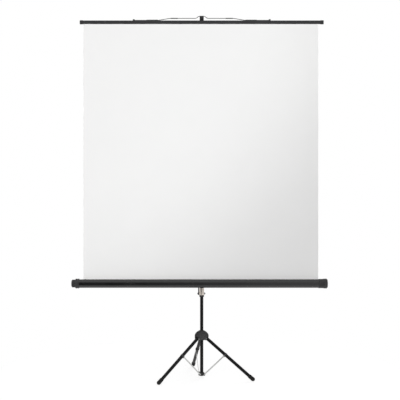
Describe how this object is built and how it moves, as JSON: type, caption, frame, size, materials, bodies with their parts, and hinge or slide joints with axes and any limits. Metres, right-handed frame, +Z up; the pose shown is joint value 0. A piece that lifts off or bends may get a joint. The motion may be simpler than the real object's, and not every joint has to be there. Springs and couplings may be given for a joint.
{
  "type": "tripod projection screen",
  "caption": "Portable projection screen: white cloth on a spring roller in a black case, held up by a telescoping mast on a folding tripod.",
  "frame": {"origin": "on the floor, under the middle of the bounding box", "axes": "+Z up along the mast, +X along the case towards its plain end, screen facing -Y"},
  "size_m": [1.6814, 0.6046, 2.4013],
  "materials": {
    "black_paint": "satin powder coat",
    "charcoal_paint": "satin powder coat",
    "zinc": "zinc plated",
    "steel": "plain bright",
    "plastic": "satin moulded",
    "textured_plastic": "spark-eroded texture",
    "rubber": "matt",
    "screen_fabric": "matt white coated cloth"
  },
  "bodies": {
    "mast": {"mast_lower_tube": "black_paint", "mast_foot_plug": "plastic", "strut_collar": "plastic", "height_clamp_sleeve": "zinc", "clamp_lower_ring": "plastic", "clamp_bolt": "steel", "clamp_nut": "steel"},
    "hub": {"leg_hub": "plastic", "hub_dome_cover": "textured_plastic", "leg_pin_right": "steel", "leg_pin_rear": "steel", "leg_pin_left": "steel"},
    "hub_knob": {"hub_lock_knob": "plastic"},
    "leg_right": {"leg_right": "black_paint", "leg_clip_right": "plastic", "rubber_foot_right": "rubber"},
    "leg_rear": {"leg_rear": "black_paint", "leg_clip_rear": "plastic", "rubber_foot_rear": "rubber"},
    "leg_left": {"leg_left": "black_paint", "leg_clip_left": "plastic", "rubber_foot_left": "rubber"},
    "strut_right": {"strut_right": "zinc"},
    "strut_rear": {"strut_rear": "zinc"},
    "strut_left": {"strut_left": "zinc"},
    "clamp_lever": {"clamp_lever": "plastic"},
    "mid_mast": {"mid_mast_tube": "black_paint", "mid_mast_plug": "plastic", "pivot_bracket": "black_paint", "pivot_pin": "steel", "pivot_washer": "plastic", "extension_clamp_collar": "plastic"},
    "extension_knob": {"extension_clamp_knob": "plastic"},
    "extension": {"extension_tube": "zinc", "extension_plug": "plastic", "mast_top_hook": "plastic"},
    "case": {"case_housing": "black_paint", "case_bracket": "black_paint", "bracket_screw_1": "steel", "bracket_screw_2": "steel", "left_end_cap": "plastic", "right_end_cap": "plastic", "screen_fabric": "screen_fabric"},
    "tension_knob": {"tension_knob": "plastic", "spring_rod": "steel"},
    "roller": {"roller_tube": "steel", "roller_plug_left": "plastic", "roller_spring_plug": "plastic", "roller_plug_right": "plastic", "roller_spring": "steel", "fabric_roll": "screen_fabric"},
    "batten": {"batten_tube": "charcoal_paint", "batten_cap_left": "plastic", "batten_cap_right": "plastic", "bail_clip_left": "plastic", "bail_clip_right": "plastic"},
    "bail": {"bail_wire": "steel", "bail_grip_left": "plastic", "bail_grip_right": "plastic"}
  },
  "joints": [
    {"name": "leg_fold", "type": "slide", "parent": "mast", "child": "hub", "axis": [0, 0, -1], "range_m": [-0.115, 0]},
    {"name": "leg_right_hinge", "type": "hinge", "parent": "hub", "child": "leg_right", "pos_m": [0.04745, -0.07249, 0.26], "axis": [-0.3486, -0.9373, 0], "range_deg": [-45.57, 0]},
    {"name": "leg_rear_hinge", "type": "hinge", "parent": "hub", "child": "leg_rear", "pos_m": [0.00881, -0.02578, 0.26], "axis": [0.986, 0.1668, 0], "range_deg": [-45.57, 0]},
    {"name": "leg_left_hinge", "type": "hinge", "parent": "hub", "child": "leg_left", "pos_m": [-0.01232, -0.0826, 0.26], "axis": [-0.6374, 0.7705, 0], "range_deg": [-45.57, 0]},
    {"name": "strut_right_hinge", "type": "hinge", "parent": "mast", "child": "strut_right", "pos_m": [0.03808, -0.069, 0.022], "axis": [0.3486, 0.9373, 0], "range_deg": [-39.84, 0]},
    {"name": "strut_rear_hinge", "type": "hinge", "parent": "mast", "child": "strut_rear", "pos_m": [0.01048, -0.03564, 0.022], "axis": [-0.986, -0.1668, 0], "range_deg": [-39.84, 0]},
    {"name": "strut_left_hinge", "type": "hinge", "parent": "mast", "child": "strut_left", "pos_m": [-0.00461, -0.07623, 0.022], "axis": [0.6374, -0.7705, 0], "range_deg": [-39.84, 0]},
    {"name": "hub_knob_turn", "type": "hinge", "parent": "hub", "child": "hub_knob", "pos_m": [0.01465, -0.06029, 0.29], "axis": [-0.1668, 0.986, 0], "range_deg": [-180, 0]},
    {"name": "clamp_lever_swing", "type": "hinge", "parent": "mast", "child": "clamp_lever", "pos_m": [-0.00465, -0.03999, 0.5535], "axis": [1, 0, 0], "range_deg": [-90, 0]},
    {"name": "case_height", "type": "slide", "parent": "mast", "child": "mid_mast", "axis": [0, 0, -1], "range_m": [-0.3, 0]},
    {"name": "extension_slide", "type": "slide", "parent": "mid_mast", "child": "extension", "axis": [0, 0, 1], "range_m": [-0.88, 0]},
    {"name": "extension_knob_turn", "type": "hinge", "parent": "mid_mast", "child": "extension_knob", "pos_m": [0.01465, -0.06029, 1.4278], "axis": [0, 1, 0], "range_deg": [-180, 0]},
    {"name": "case_turn", "type": "hinge", "parent": "mid_mast", "child": "case", "pos_m": [0.01465, -0.10529, 0.6305], "axis": [0, -1, 0], "range_deg": [-45, 0]},
    {"name": "tension_knob_turn", "type": "hinge", "parent": "case", "child": "tension_knob", "pos_m": [-0.81665, -0.13629, 0.6305], "axis": [1, 0, 0], "range_deg": [-360, 0]},
    {"name": "roller_turn", "type": "hinge", "parent": "case", "child": "roller", "pos_m": [0.01465, -0.13629, 0.6305], "axis": [1, 0, 0], "range_deg": [-2772, 0]},
    {"name": "batten_travel", "type": "slide", "parent": "case", "child": "batten", "axis": [0, 0, 1], "range_m": [-0.88, 0], "deforming": ["screen_fabric"]},
    {"name": "bail_swing", "type": "hinge", "parent": "batten", "child": "bail", "pos_m": [0.01465, -0.11097, 2.3679], "axis": [-1, 0, 0], "range_deg": [-100, 0]}
  ],
  "couplings": [
    {"joint": "leg_right_hinge", "follows": "leg_fold", "rad_per_m": 6.9078},
    {"joint": "leg_rear_hinge", "follows": "leg_fold", "rad_per_m": 6.9078},
    {"joint": "leg_left_hinge", "follows": "leg_fold", "rad_per_m": 6.9078},
    {"joint": "strut_right_hinge", "follows": "leg_fold", "rad_per_m": 6.0395},
    {"joint": "strut_rear_hinge", "follows": "leg_fold", "rad_per_m": 6.0395},
    {"joint": "strut_left_hinge", "follows": "leg_fold", "rad_per_m": 6.0395},
    {"joint": "roller_turn", "follows": "extension_slide", "rad_per_m": 54.945},
    {"joint": "batten_travel", "follows": "extension_slide", "ratio": 1}
  ]
}
